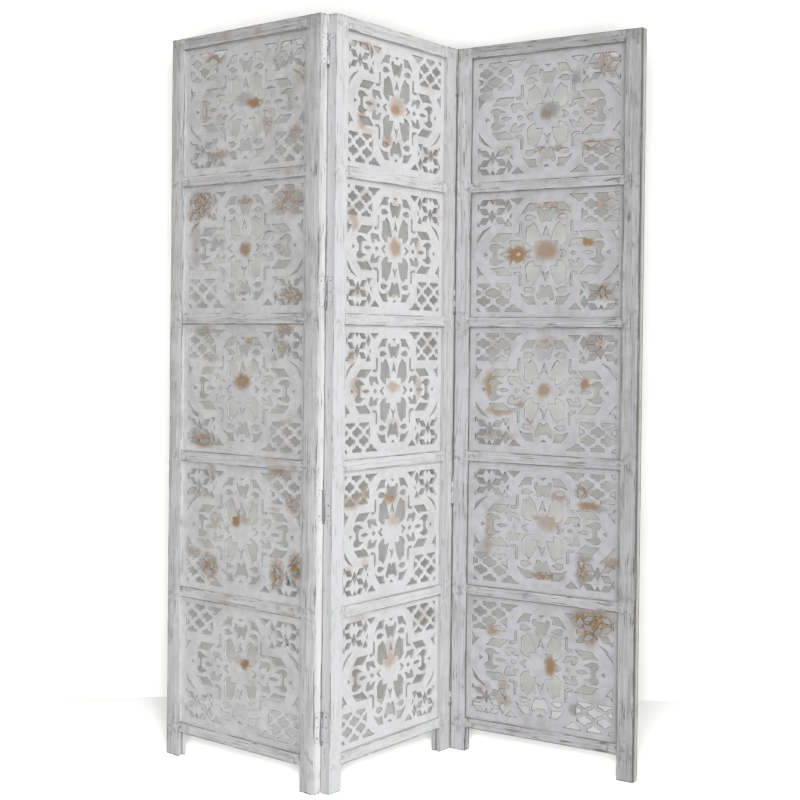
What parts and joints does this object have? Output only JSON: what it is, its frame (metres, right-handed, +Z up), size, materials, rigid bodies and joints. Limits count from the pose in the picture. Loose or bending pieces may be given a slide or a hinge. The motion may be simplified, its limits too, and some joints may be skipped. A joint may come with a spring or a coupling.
{
  "type": "folding screen",
  "caption": "Free-standing carved jali folding screen with pierced fretwork panels in whitewashed wood frames, joined by butt hinges in a zigzag.",
  "frame": {"origin": "on the floor, at the middle of the footprint of the screen as it stands in its zigzag", "axes": "+Z up; +Y from the side that is looked at to the back, across the zigzag; +X to the right along the zigzag, seen from the front"},
  "size_m": [1.168, 0.4186, 1.83],
  "materials": {
    "frame_wood": "whitewashed, brushed thin so that the grain shows grey, worn at the edges",
    "fretwork_wood": "whitewashed, rubbed back to bare brown wood in places",
    "painted_hinge": "painted over with the frame, worn grey",
    "pin_steel": "dull steel with paint in the joints",
    "screw_steel": "dull darkened steel with paint in the slots"
  },
  "bodies": {
    "middle_leaf": {"left_fold_hinge_1_right_plate": "painted_hinge", "left_fold_hinge_2_right_plate": "painted_hinge", "left_fold_hinge_3_right_plate": "painted_hinge", "left_fold_hinge_4_right_plate": "painted_hinge", "left_fold_hinge_pins": "pin_steel", "middle_leaf_bottom_rail": "frame_wood", "middle_leaf_hinge_screws": "screw_steel", "middle_leaf_left_stile": "frame_wood", "middle_leaf_panel_1": "fretwork_wood", "middle_leaf_panel_2": "fretwork_wood", "middle_leaf_panel_3": "fretwork_wood", "middle_leaf_panel_4": "fretwork_wood", "middle_leaf_panel_5": "fretwork_wood", "middle_leaf_rail_2": "frame_wood", "middle_leaf_rail_3": "frame_wood", "middle_leaf_rail_4": "frame_wood", "middle_leaf_rail_5": "frame_wood", "middle_leaf_right_stile": "frame_wood", "middle_leaf_top_rail": "frame_wood", "right_fold_hinge_1_left_plate": "painted_hinge", "right_fold_hinge_2_left_plate": "painted_hinge", "right_fold_hinge_3_left_plate": "painted_hinge", "right_fold_hinge_4_left_plate": "painted_hinge", "right_fold_hinge_pins": "pin_steel"},
    "left_leaf": {"left_fold_hinge_1_left_plate": "painted_hinge", "left_fold_hinge_2_left_plate": "painted_hinge", "left_fold_hinge_3_left_plate": "painted_hinge", "left_fold_hinge_4_left_plate": "painted_hinge", "left_leaf_bottom_rail": "frame_wood", "left_leaf_hinge_screws": "screw_steel", "left_leaf_left_stile": "frame_wood", "left_leaf_panel_1": "fretwork_wood", "left_leaf_panel_2": "fretwork_wood", "left_leaf_panel_3": "fretwork_wood", "left_leaf_panel_4": "fretwork_wood", "left_leaf_panel_5": "fretwork_wood", "left_leaf_rail_2": "frame_wood", "left_leaf_rail_3": "frame_wood", "left_leaf_rail_4": "frame_wood", "left_leaf_rail_5": "frame_wood", "left_leaf_right_stile": "frame_wood", "left_leaf_top_rail": "frame_wood"},
    "right_leaf": {"right_fold_hinge_1_right_plate": "painted_hinge", "right_fold_hinge_2_right_plate": "painted_hinge", "right_fold_hinge_3_right_plate": "painted_hinge", "right_fold_hinge_4_right_plate": "painted_hinge", "right_leaf_bottom_rail": "frame_wood", "right_leaf_hinge_screws": "screw_steel", "right_leaf_left_stile": "frame_wood", "right_leaf_panel_1": "fretwork_wood", "right_leaf_panel_2": "fretwork_wood", "right_leaf_panel_3": "fretwork_wood", "right_leaf_panel_4": "fretwork_wood", "right_leaf_panel_5": "fretwork_wood", "right_leaf_rail_2": "frame_wood", "right_leaf_rail_3": "frame_wood", "right_leaf_rail_4": "frame_wood", "right_leaf_rail_5": "frame_wood", "right_leaf_right_stile": "frame_wood", "right_leaf_top_rail": "frame_wood"}
  },
  "joints": [
    {"name": "left_fold", "type": "hinge", "parent": "middle_leaf", "child": "left_leaf", "pos_m": [-0.18908, -0.19063, 0.9], "axis": [0, 0, 1], "range_deg": [-87, 93]},
    {"name": "right_fold", "type": "hinge", "parent": "middle_leaf", "child": "right_leaf", "pos_m": [0.15145, 0.18857, 0.9], "axis": [0, 0, 1], "range_deg": [-94.3, 85.7]}
  ]
}
